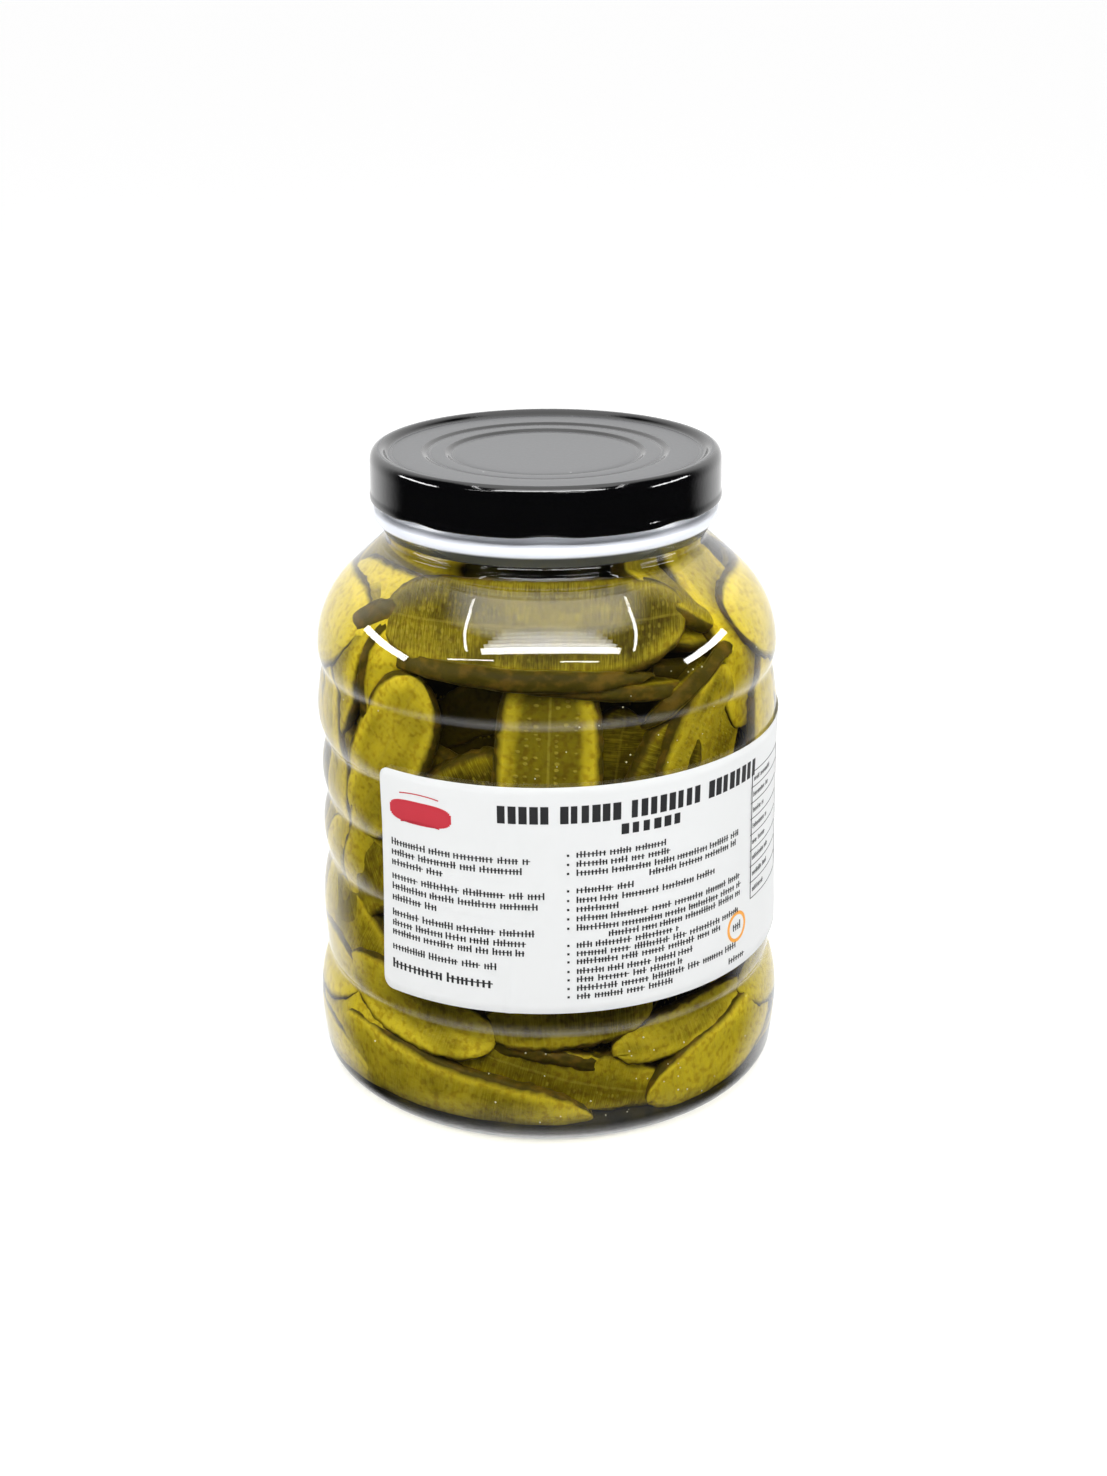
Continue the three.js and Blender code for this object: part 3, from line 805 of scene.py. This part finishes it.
FRONT_SLICES = [
    # Over the shoulder.
    slice_at(-5, 161, 1, length=104, width=32, seeds=0.3, tone=0.85, bend=2),
    slice_at(44, 172, -58, length=48, width=22, roll=-24, tone=0.45, seeds=0.3, deep=0.3),
    slice_at(66, 158, 82, length=80, width=32, deep=5, tone=0.15, seeds=0.3),
    slice_at(-64, 161, 6, length=62, width=25, deep=2, tone=0.1, seeds=0.1),
    slice_at(-46, 144, 82, length=50, width=20, roll=14, deep=1, tone=0.15, seeds=0.0),
    slice_at(-66, 143, 74, length=60, width=26, deep=2, tone=0.3, seeds=0.3),
    # The long ones that lie edge on under it.
    slice_at(-8, 148.5, -2, roll=88, length=96, width=26, thick=6.5, bend=3, tone=1.0, seeds=0),
    slice_at(8, 144.5, -7, roll=84, length=84, width=24, thick=5, deep=2, tone=0.9, seeds=0, bend=2),
    # Upright ones behind the groove.
    slice_at(0, 116, 88, length=88, width=31, deep=1.2, tone=0.25, seeds=1),
    slice_at(17, 110, 80, length=56, width=26, deep=7, tone=1.1, seeds=0.2),
    slice_at(46, 121, 60, length=48, width=37, deep=0.8, roll=12, tone=0.3, seeds=0.4),
    slice_at(29, 108, 66, length=52, width=24, deep=3, tone=0.9, seeds=0.4),
    slice_at(-45, 118, 62, length=62, width=28, deep=1, tone=0.2, seeds=0.3),
    slice_at(-24, 106, 30, length=56, width=26, deep=4, tone=1.0, seeds=0.5),
    # This one, far behind the others, is drawn near black: painted shade.
    slice_at(-20, 134, 24, length=46, width=16, deep=11, tone=1.5, seeds=0),
    # Skins at the left and over the round one.
    slice_at(-57, 158, 30, length=30, width=13, roll=30, deep=0.3, tone=0.5, skin=1),
    slice_at(-51.5, 143, 84, roll=86, length=42, width=14, thick=4.5, deep=0.1, tone=0.1, seeds=0),
    slice_at(41, 141, 28, roll=66, length=44, width=14, deep=0.2, tone=0.9, seeds=0),
    # In the ribs at the left.
    # The three deep in the ribs are drawn darker, as painted shade in the gaps.
    slice_at(-57, 104, -30, length=60, width=26, deep=3.5, tone=0.6, seeds=0),
    slice_at(-58, 72, 35, length=60, width=26, deep=3.5, tone=0.7, seeds=0),
    slice_at(-57, 48, -30, length=60, width=26, deep=3.5, tone=0.5, seeds=0),
    slice_at(-53, 88, 68, length=58, width=22, roll=14, deep=0.8, tone=-0.1, seeds=0.2),
    slice_at(-73, 112, 100, length=72, width=26, roll=-12, deep=0.8, tone=0.0, seeds=0.3),
    slice_at(-73, 58, 76, length=60, width=26, roll=12, deep=0.8, tone=0.0, seeds=0.3),
    # This palest one low in the corner stands in for light shining through the brine there: painted light.
    slice_at(-70, 10, -6, length=60, width=18, deep=0.3, tone=-0.6, seeds=0),
    # At both edges.
    slice_at(-84, 36, 4, length=64, width=26, deep=0.3, tone=-0.3, seeds=0.1),
    slice_at(84, 34, -4, length=64, width=28, deep=0.3, tone=-0.2, seeds=0.1),
    slice_at(-86, 151, 7, length=64, width=30, deep=0.3, tone=-0.3, seeds=0.2),
    slice_at(87, 152, -8, length=64, width=30, deep=0.3, tone=-0.2, seeds=0.2),
    slice_at(74, 126, 80, length=50, width=22, deep=1.5, tone=-0.1, seeds=0.2),
    slice_at(-62, 27, 10, length=50, width=18, deep=1.8, tone=0.0, seeds=0.1),
    # On the base.
    slice_at(14, 8, 2, length=88, width=20, deep=3, roll=-35, tone=0.5),
    slice_at(-30, 5, 0, length=70, width=22, deep=5, roll=-60, tone=1.0),
    slice_at(62, 7, 0, length=70, width=20, deep=2, roll=-40, tone=0.1),
    # Below the label.
    slice_at(-27, 14.5, -9, length=96, width=26, deep=0.6, tone=0.3, bend=-4, seeds=0.1),
    slice_at(1, 22, -15, length=84, width=20, deep=4, tone=0.45, seeds=0.6),
    slice_at(-2, 27.5, -14, roll=80, length=56, width=22, thick=6, deep=3, tone=1.0, skin=1),
    slice_at(50, 17, 13, length=66, width=22, deep=0.8, tone=-0.1, seeds=0.1),
    slice_at(38, 31, 7, length=56, width=15, deep=2, tone=0.35, seeds=0.2),
    slice_at(-38, 38, -9, length=62, width=22, deep=0.8, tone=0.2, seeds=0.2),
    slice_at(5, 38.5, 4, length=56, width=16, deep=1.5, tone=0.5, seeds=0.3),
]

# Behind and beside them, rows of a height, a count, a tilt and whether the row also runs behind the front
# slices. Near the jar's two edges these lie deeper, behind the front slices there.
HEAP_ROWS = [(22, 6, 6, False), (49, 6, -9, False), (76, 6, 12, True), (101, 6, -7, True),
             (126, 6, 9, False), (149, 6, -5, False), (169, 5, 3, False)]
HEAP_TONES = (0.1, -0.2, 0.9, 0.2, 0.5)
FRONT_REACH = 62
EDGE_REACH = 100
EDGE_DEPTH = 7.5
INNER_ROWS = {"low": 18, "step": 23, "rows": 6, "count": 6}


def bearing_of(turn):
    """How far a turn is from the front, either way."""
    return abs((turn + 180) % 360 - 180)


def heap_slices():
    slices = []
    for level, (height, count, tilt, behind) in enumerate(HEAP_ROWS):
        for i in range(count):
            turn = 360 * (i + 0.5 * (level % 2)) / count
            if bearing_of(turn) < FRONT_REACH and not behind:
                continue
            deep = EDGE_DEPTH if bearing_of(turn) < EDGE_REACH else SLICE_DEFAULTS["deep"]
            swing = (i * 7 + level * 3) % 5
            slices.append(slice_at(turn, height + 3 * (swing - 2), tilt * (swing - 1.5),
                                   roll=50 if swing == 3 else 8 * (swing - 2), length=92 - 3 * swing,
                                   width=33 - 1.5 * swing, tone=HEAP_TONES[swing], deep=deep))
    return slices


def inner_slices():
    """A second layer, seen through the gaps of the first. At the front its flesh is drawn near black, as
    painted shade.
    """
    draw = random.Random(11)
    slices = []
    for level in range(INNER_ROWS["rows"]):
        for i in range(INNER_ROWS["count"]):
            turn = 60 * i + 30 * (level % 2) + draw.uniform(-8, 8)
            ahead = bearing_of(turn) < FRONT_REACH
            slices.append(slice_at(turn, INNER_ROWS["low"] + INNER_ROWS["step"] * level,
                                   draw.uniform(-30, 30), roll=draw.uniform(-20, 20),
                                   deep=12 if ahead else 10, length=draw.uniform(70, 90),
                                   width=draw.uniform(24, 32),
                                   tone=draw.uniform(1.3, 1.9) if ahead else draw.uniform(0.4, 1.2)))
    return slices


NARROWEST = 50.0


def slice_place(cut, along, across, out):
    """From a slice's own axes to the jar's, pressed to the wall."""
    lean, twist = math.radians(cut["tilt"]), math.radians(cut["roll"])
    across += cut["bend"] * (1 - (2 * along / cut["length"]) ** 2)
    side = across * math.cos(twist) - out * math.sin(twist)
    depth = across * math.sin(twist) + out * math.cos(twist)
    inward = cut["width"] / 2 * abs(math.sin(twist)) + cut["thick"] / 2 * abs(math.cos(twist)) + cut["deep"]
    up = along * math.sin(lean) + side * math.cos(lean)
    radius, height, slope = press_at(length_at(cut["height"]) + up)
    sideways = along * math.cos(lean) - side * math.sin(lean)
    around = math.radians(cut["turn"]) + sideways / max(radius, NARROWEST)
    radius += (depth - inward) * slope.y
    height -= (depth - inward) * slope.x
    return (radius * math.sin(around), -radius * math.cos(around), max(SLICE_LOWEST, height))


# How a slice is shaped: its blunt ends, the swell of its sides, low bumps on its faces, and a rough rim.
END_POWER = 3.0
END_REACH = 0.996
RIM_STEPS = 5
RIM_SWELL = 0.09
FACE_BUMP = {"scale": 0.12, "high": 0.6}
RIM_BUMP = {"scale": 0.35, "high": 0.9, "reach": 1.6, "thinner": 0.2}
SKIN_DOME = 2.5
SKIN_REACH = 0.8
SEED_STEP = 7.31


def slice_loop(flats):
    """Cross-section of a slice as pairs from -1 to 1: two flat faces and two rounded rims."""
    turns = [math.pi * i / RIM_STEPS for i in range(1, RIM_STEPS)]
    loop = [(-1 + 2 * i / flats, 1.0) for i in range(flats + 1)]
    loop += [(1 + RIM_SWELL * math.sin(turn), math.cos(turn)) for turn in turns]
    loop += [(1 - 2 * i / flats, -1.0) for i in range(flats + 1)]
    loop += [(-1 - RIM_SWELL * math.sin(turn), -math.cos(turn)) for turn in turns]
    return loop


def slice_point(cut, u, v, w):
    """One corner of a slice and its marks, from its place along, across and through the slice."""
    half_length, half_width = cut["length"] / 2, cut["width"] / 2
    seed = cut["seed"]
    round_end = math.sqrt(max(0.0, 1 - abs(u) ** END_POWER))
    along = u * half_length
    across = v * half_width * round_end
    edge = max(0.0, half_width * round_end * (1 - abs(v)))
    edge = min(edge, half_length * (1 - abs(u)) * 1.6)
    scale = FACE_BUMP["scale"]
    bump = noise.noise(Vector((along * scale, across * scale, seed))) * FACE_BUMP["high"]
    rim = 1 - smooth_step(0.0, RIM_BUMP["reach"], edge)
    thick = cut["thick"] / 2 * (1 - RIM_BUMP["thinner"] * rim) * min(1.0, 0.3 + round_end)
    out = w * thick + bump
    skinned = cut["skin"] and w > 0
    if skinned:
        out += SKIN_DOME * (1 - v * v) * round_end
    rough = noise.noise(Vector((along * RIM_BUMP["scale"], v * 3, w * 2 + seed))) * RIM_BUMP["high"] * rim
    across += rough * v
    flank = abs(v) >= 1 - 1e-6
    skin = 1.0 if flank or skinned else 0.8 * (1 - smooth_step(0.0, SKIN_REACH, edge))
    mark = ((along, across, seed), (edge, skin, cut["tone"]), cut["seeds"])
    return slice_place(cut, along, across, out), mark


def slice_mesh(cut, corners, faces, marks, rings, flats):
    """A long flat slice with round ends: flat cut faces and a bumpy skin along its rim."""
    start = len(corners)
    loop = slice_loop(flats)
    for i in range(rings + 1):
        u = math.sin(math.pi / 2 * (-1 + 2 * i / rings)) * END_REACH
        for v, w in loop:
            corner, mark = slice_point(cut, u, v, w)
            corners.append(corner)
            marks.append(mark)
    count = len(loop)
    for i in range(rings):
        for j in range(count):
            k = (j + 1) % count
            a, b = start + i * count, start + (i + 1) * count
            faces.append([a + j, b + j, b + k, a + k])
    faces.append([start + j for j in range(count)])
    faces.append([start + rings * count + j for j in range(count)][::-1])


def make_slices(name, slices, material, rings, flats):
    corners, faces, marks = [], [], []
    for index, cut in enumerate(slices):
        slice_mesh({**cut, "seed": index * SEED_STEP}, corners, faces, marks, rings, flats)
    piece = add_mesh(name, corners, faces, material)
    attributes = piece.data.attributes
    place = attributes.new("cut_place", "FLOAT_VECTOR", "POINT")
    place.data.foreach_set("vector", [value for mark in marks for value in mark[0]])
    zone = attributes.new("cut_zone", "FLOAT_VECTOR", "POINT")
    zone.data.foreach_set("vector", [value for mark in marks for value in mark[1]])
    seeds = attributes.new("cut_seeds", "FLOAT", "POINT")
    seeds.data.foreach_set("value", [mark[2] for mark in marks])
    return piece


SPECKS = {"count": 90, "size": (0.16, 0.36), "gap": 1.1, "front": (22, 18), "low": (8, 34),
          "high": (98, 150)}


def make_specks(material):
    """Tiny bubbles and flakes in the brine between the slices and the wall."""
    draw = random.Random(3)
    corners, faces = [], []
    axes = ((1, 0, 0), (0, 1, 0), (-1, 0, 0), (0, -1, 0), (0, 0, 1), (0, 0, -1))
    for _ in range(SPECKS["count"]):
        turn = math.radians(draw.choice((draw.gauss(*SPECKS["front"]), draw.uniform(-180, 180))))
        height = draw.choice((draw.uniform(*SPECKS["low"]), draw.uniform(*SPECKS["high"])))
        radius = press_at(length_at(height))[0] + SPECKS["gap"]
        size = draw.uniform(*SPECKS["size"])
        place = (radius * math.sin(turn), -radius * math.cos(turn), height)
        start = len(corners)
        corners += [tuple(place[k] + size * axis[k] for k in range(3)) for axis in axes]
        for j in range(4):
            k = (j + 1) % 4
            faces.append([start + j, start + k, start + 4])
            faces.append([start + k, start + j, start + 5])
    return add_mesh("brine_specks", corners, faces, material)


CORE = {"low": 22.0, "high": 172.0, "depth": 17.0, "steps": 40, "sides": 96, "over_base": 0.9,
        "base_reach": 71.3, "base_top": 12, "heel": (7.5, 62, 13)}


def make_core(material):
    """A near-black mass behind the slices, which also covers the base: painted shade standing for the
    pickles deep inside and on the base.
    """
    base = moved_in(body_outline(), WALL + CORE["over_base"])
    outline = [point for point in base if point[0] <= CORE["base_reach"] and point[1] < CORE["base_top"]]
    rise, radius, height = CORE["heel"]
    outline += [(CORE["base_reach"], rise), (radius, height)]
    low, high = length_at(CORE["low"]), length_at(CORE["high"])
    last = CORE["steps"] - 1
    for i in range(CORE["steps"]):
        radius, height, _ = press_at(low + (high - low) * i / last)
        outline.append((radius - CORE["depth"], height))
    outline.append((0, height))
    return lathe("gherkin_core_painted_shade", outline, CORE["sides"], material)


# Camera, world, lights and floor.

def make_camera():
    data = bpy.data.cameras.new("camera")
    data.sensor_width = 36
    data.lens = CAMERA["lens"]
    data.shift_x, data.shift_y = CAMERA["shift"]
    data.clip_end = 100
    camera = bpy.data.objects.new("camera", data)
    bpy.context.scene.collection.objects.link(camera)
    turn = Matrix.Rotation(math.radians(90 - CAMERA["down"]), 4, "X")
    turn = turn @ Matrix.Rotation(math.radians(-CAMERA["roll"]), 4, "Z")
    camera.matrix_world = Matrix.Translation((0, -CAMERA["back"] * MM, CAMERA["up"] * MM)) @ turn
    bpy.context.scene.camera = camera


def make_world():
    """A white light tent: a bright back, ceiling and table round a dark front."""
    world = bpy.data.worlds.new("studio")
    bpy.context.scene.world = world
    world.use_nodes = True
    graph = Graph(world.node_tree)
    background = graph.nodes["Background"]
    background.inputs["Color"].default_value = (1, 1, 1, 1)
    x, y, z = graph.split(graph.add("ShaderNodeTexCoord").outputs["Generated"])
    across = graph.math("SQRT", graph.math("ADD", graph.times(x, x), graph.times(y, y)))
    facing = graph.math("DIVIDE", graph.times(y, -1.0), graph.math("MAXIMUM", across, 0.001))
    side, low_share = TENT["side_light"], TENT["low_share"]
    low = graph.math("ADD", graph.times(graph.ramp(z, *TENT["opening_low"]), 1 - low_share), low_share)
    opening = graph.times(graph.ramp(facing, *TENT["opening"]), graph.ramp(z, *TENT["opening_top"]), low)
    ceiling = graph.times(graph.ramp(z, *TENT["ceiling"]), TENT["ceiling_light"] - side)
    table = graph.times(graph.ramp(z, *TENT["table"]), TENT["table_light"] - side)
    light = graph.math("ADD", graph.math("ADD", ceiling, table), side)
    light = graph.times(light, graph.math("SUBTRACT", 1.0, graph.times(opening, TENT["dark"])))
    seen = graph.add("ShaderNodeLightPath").outputs["Is Camera Ray"]
    graph.link(graph.math("MAXIMUM", light, seen), background.inputs["Strength"])


def add_strip(name, start, end, width, radiance):
    """A strip light between two points, in metres, facing the jar."""
    start, end = Vector(start), Vector(end)
    middle = (start + end) / 2
    data = bpy.data.lights.new(name, "AREA")
    data.shape = "RECTANGLE"
    data.size = (end - start).length
    data.size_y = width
    data.energy = math.pi * radiance * data.size * data.size_y
    strip = bpy.data.objects.new(name, data)
    bpy.context.scene.collection.objects.link(strip)
    back = (middle - Vector(LIGHT_AIM)).normalized()
    along = (end - start).normalized()
    up = back.cross(along).normalized()
    along = up.cross(back)
    turn = Matrix((along, up, back)).transposed().to_4x4()
    strip.matrix_world = Matrix.Translation(middle) @ turn
    strip.visible_camera = False


# The tent's planes stand half a metre from the jar. The front strips have a height over the aim, a width and
# a radiance: one bright line that fades upwards. The others run between two directions, as turn and height
# in degrees, on a side plane or the front plane.
PLANE = 0.5
FRONT_SPAN = (-0.39, 0.435)
FRONT_STRIPS = [(0.536, 0.09, 11), (0.63, 0.1, 4.5), (0.74, 0.12, 2.6), (0.87, 0.14, 1.6), (1.02, 0.16, 1.1),
                (1.21, 0.22, 0.8)]
STRIP_RADIANCE = 14
STRIPS = [("left_top", (-45, 37.5), (-79.4, 63.3), "side", 0.018),
          ("right_top", (48, 35), (83.3, 61.4), "side", 0.018),
          ("left_side", (-104, 18), (-70, 15), "side", 0.045),
          ("right_side", (100, 17), (68, 12), "side", 0.045),
          ("left_dash", (-48, 27.5), (-29, 33), "front", 0.012),
          ("right_dash", (7, 34.3), (26, 31), "front", 0.012)]


def toward(azimuth, elevation, plane):
    """A point seen from the jar in a direction, on one of the tent's planes."""
    azimuth, elevation = math.radians(azimuth), math.radians(elevation)
    reach = PLANE / (math.sin(abs(azimuth)) if plane == "side" else math.cos(azimuth))
    return (LIGHT_AIM[0] + reach * math.sin(azimuth), LIGHT_AIM[1] - reach * math.cos(azimuth),
            LIGHT_AIM[2] + reach * math.tan(elevation))


def make_lights():
    left, right = FRONT_SPAN
    for number, (height, width, radiance) in enumerate(FRONT_STRIPS):
        level = LIGHT_AIM[2] + height
        add_strip(f"front_top_{number}", (left, -PLANE, level), (right, -PLANE, level), width, radiance)
    for name, start, end, plane, width in STRIPS:
        add_strip(name, toward(*start, plane), toward(*end, plane), width, STRIP_RADIANCE)


FLOOR = {"half": 40000, "drop": 0.0002, "white": (0.9, 0.9, 0.9, 1), "glow": 0.35}


def make_floor():
    """The table. It glows a little, so that it stays white, and doesn't show in the jar."""
    values = {"Base Color": FLOOR["white"], "Roughness": 1.0, "Specular IOR Level": 0.0,
              "Emission Color": (1, 1, 1, 1), "Emission Strength": FLOOR["glow"]}
    material = new_material("floor", values)[0]
    half = FLOOR["half"]
    floor = add_mesh("floor", [(-half, -half, 0), (half, -half, 0), (half, half, 0), (-half, half, 0)],
                     [[0, 1, 2, 3]], material, smooth=False)
    floor.location.z = -FLOOR["drop"]
    floor.visible_glossy = False
    floor.visible_transmission = False


make_camera()
make_world()
make_lights()
make_floor()
bpy.context.scene.view_settings.view_transform = "Standard"

body = make_body(plastic_material())
neck = make_neck(neck_material())
lid = make_lid(lid_material())
label = make_label(plain_material("label_stock", PAPER))
black_print = make_black_print(plain_material("ink_black", INK_BLACK))
red_print = make_red_print(plain_material("ink_red", INK_RED))
ring_print = make_ring_print(plain_material("ink_orange", INK_ORANGE))
brine = make_brine(brine_material())
core = make_core(core_material())
specks = make_specks(plain_material("speck_white", SPECK_WHITE))
flesh = flesh_material()
front = make_slices("gherkin_slices_front", FRONT_SLICES, flesh, 52, 16)
heap = make_slices("gherkin_slices_heap", heap_slices() + inner_slices(), flesh, 22, 8)

for piece, slot in ((body, "clear_plastic"), (neck, "clear_plastic"), (lid, "black_lid"),
                    (label, "label_paper"), (black_print, "label_paper"), (red_print, "label_paper"),
                    (ring_print, "label_paper"), (brine, "clear_plastic"), (core, "pickle_flesh"),
                    (front, "pickle_flesh"), (heap, "pickle_flesh"), (specks, "pickle_flesh")):
    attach(piece, "root")
for piece in (body, neck):
    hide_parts("jar")
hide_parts("lid")
for piece in (label, black_print, red_print, ring_print):
    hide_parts("label")
for piece in (core, front, heap, specks):
    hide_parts("pickles")
